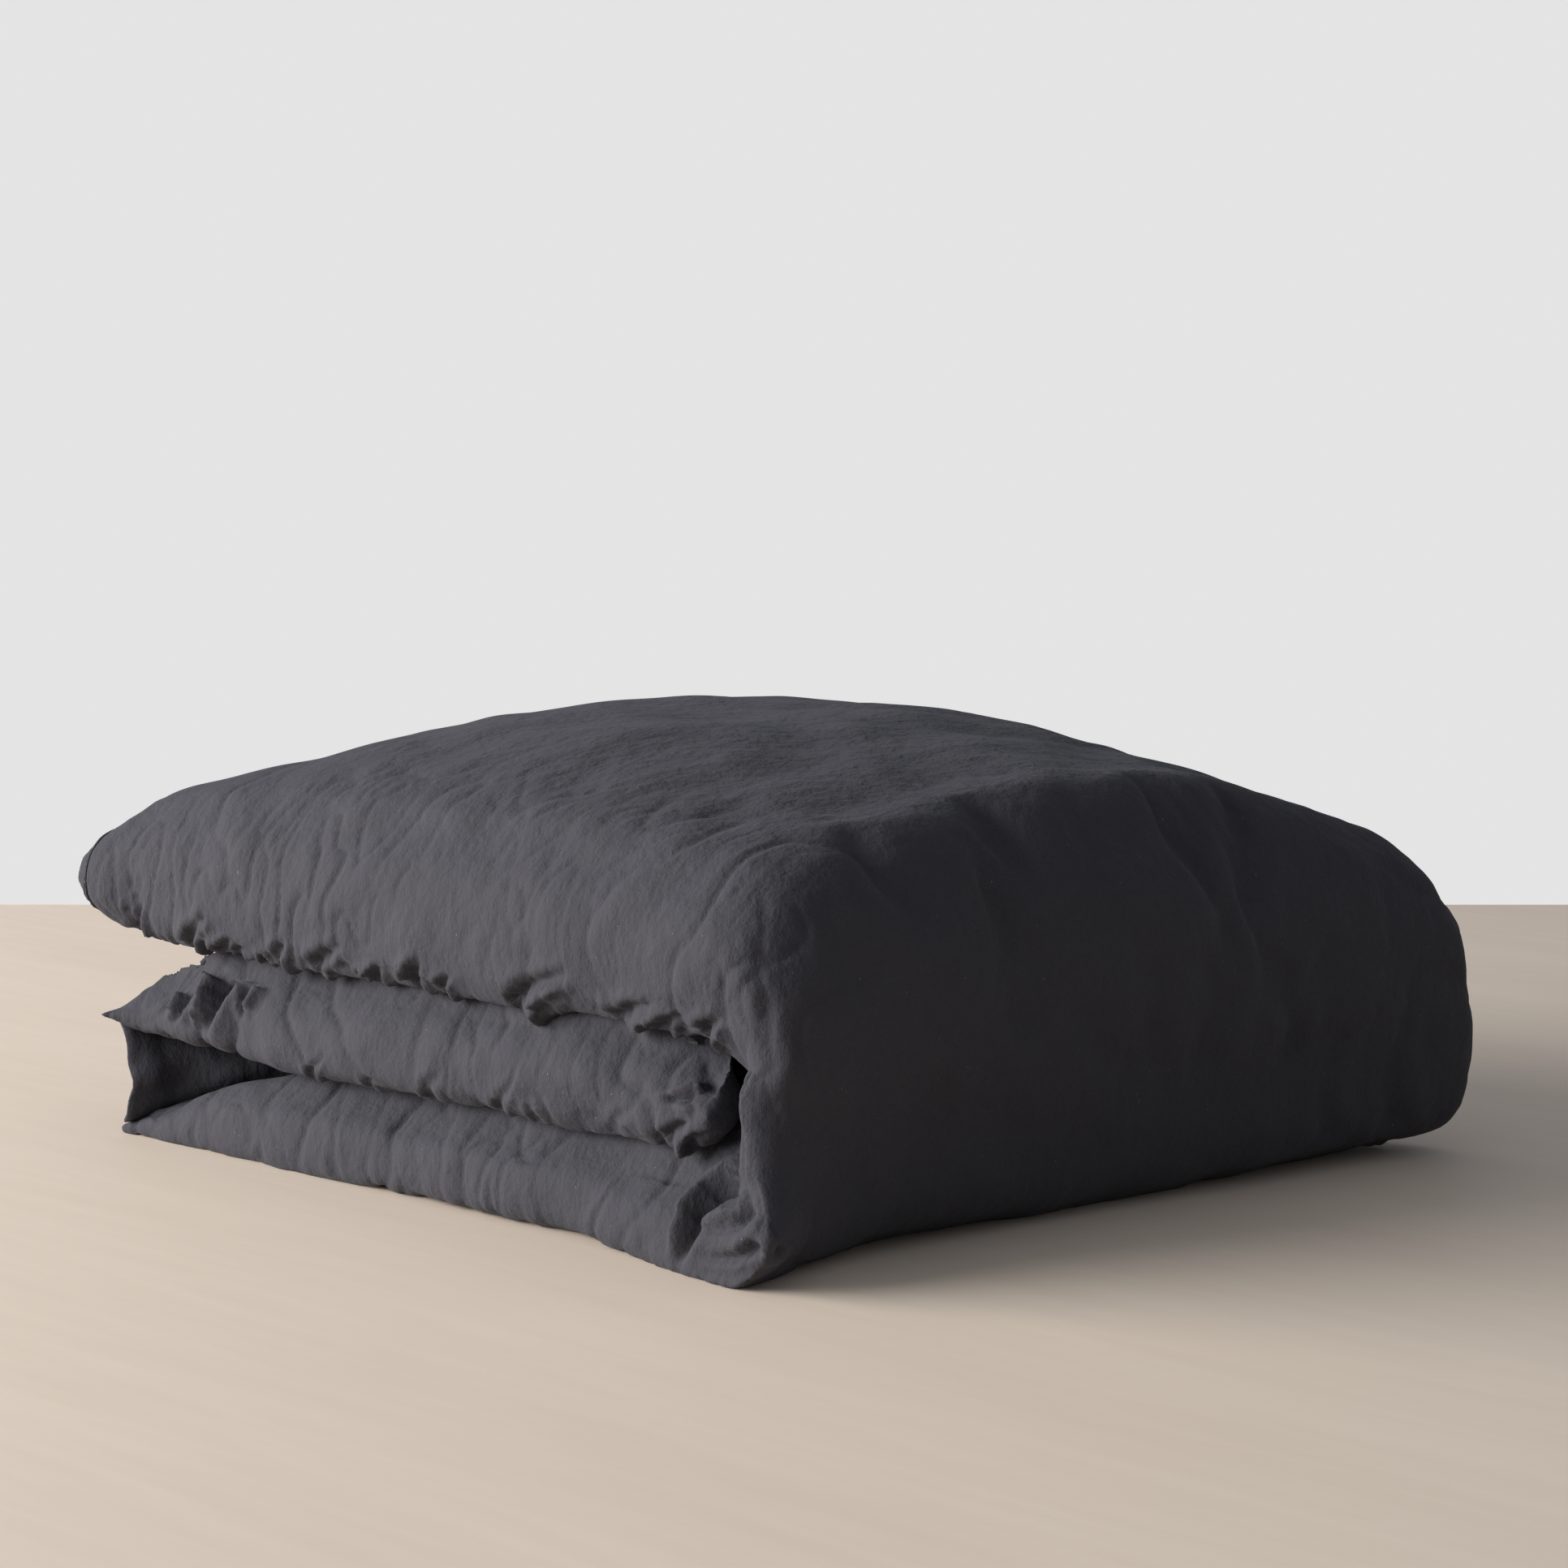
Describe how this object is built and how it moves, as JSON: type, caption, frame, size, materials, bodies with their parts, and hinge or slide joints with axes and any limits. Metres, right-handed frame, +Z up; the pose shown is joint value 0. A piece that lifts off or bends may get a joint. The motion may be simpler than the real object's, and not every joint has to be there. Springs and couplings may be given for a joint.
{
  "type": "folded duvet",
  "caption": "Thick duvet in a plain dark cotton cover, folded lengthwise and then in thirds, whose top leaf lifts and unfolds over the wrap.",
  "frame": {"origin": "on the floor, under the middle of the folded stack", "axes": "+X towards the wrap, where the top leaf is hinged; +Y towards the back, where the strip's plies are open; +Z up"},
  "size_m": [0.65, 0.6, 0.286],
  "materials": {
    "cover_cloth": "fine charcoal cotton percale, washed, soft and matt",
    "insert_cloth": "undyed cotton batiste shell over fibre filling, matt",
    "tape_cloth": "woven cotton tape, matt",
    "button_shell": "dark satin button"
  },
  "bodies": {
    "base": {"bottom_leaf_cover": "cover_cloth", "bottom_leaf_insert_ply_1": "insert_cloth", "bottom_leaf_insert_ply_2": "insert_cloth", "bottom_leaf_insert_ply_3": "insert_cloth", "bottom_leaf_insert_ply_4": "insert_cloth", "middle_leaf_cover": "cover_cloth", "middle_leaf_insert_ply_1": "insert_cloth", "middle_leaf_insert_ply_2": "insert_cloth", "middle_leaf_insert_ply_3": "insert_cloth", "middle_leaf_insert_ply_4": "insert_cloth", "inner_fold_cover": "cover_cloth", "lower_fold_cover": "cover_cloth", "lower_fold_insert": "insert_cloth", "closure_hem_1": "cover_cloth", "closure_button_1": "button_shell", "closure_button_2": "button_shell", "closure_hem_2": "cover_cloth", "closure_button_3": "button_shell", "closure_button_4": "button_shell", "closure_hem_3": "cover_cloth", "closure_button_5": "button_shell", "closure_button_6": "button_shell", "closure_hem_4": "cover_cloth", "closure_button_7": "button_shell", "closure_button_8": "button_shell", "middle_leaf_lower_corner_loop": "tape_cloth", "middle_leaf_lower_corner_tie": "tape_cloth", "middle_leaf_upper_corner_loop": "tape_cloth", "middle_leaf_upper_corner_tie": "tape_cloth"},
    "spine": {"upper_fold_cover": "cover_cloth", "upper_fold_insert": "insert_cloth", "spine_cover": "cover_cloth", "spine_insert_ply_1": "insert_cloth", "spine_insert_ply_2": "insert_cloth", "spine_insert_ply_3": "insert_cloth", "spine_insert_ply_4": "insert_cloth"},
    "top_leaf": {"top_leaf_cover": "cover_cloth", "top_leaf_insert_ply_1": "insert_cloth", "top_leaf_insert_ply_2": "insert_cloth", "top_leaf_insert_ply_3": "insert_cloth", "top_leaf_insert_ply_4": "insert_cloth", "end_hem": "cover_cloth", "top_leaf_lower_corner_loop": "tape_cloth", "top_leaf_lower_corner_tie": "tape_cloth", "top_leaf_upper_corner_loop": "tape_cloth", "top_leaf_upper_corner_tie": "tape_cloth"}
  },
  "joints": [
    {"name": "wrap_lean", "type": "hinge", "parent": "base", "child": "spine", "pos_m": [0.245, 0, 0.098], "axis": [0, 1, 0], "range_deg": [0, 90], "deforming": ["lower_fold_cover", "lower_fold_insert"]},
    {"name": "top_leaf_unfold", "type": "hinge", "parent": "spine", "child": "top_leaf", "pos_m": [0.245, 0, 0.186], "axis": [0, 1, 0], "range_deg": [0, 90], "deforming": ["upper_fold_cover", "upper_fold_insert"]}
  ],
  "couplings": [
    {"joint": "top_leaf_unfold", "follows": "wrap_lean", "ratio": 1}
  ]
}
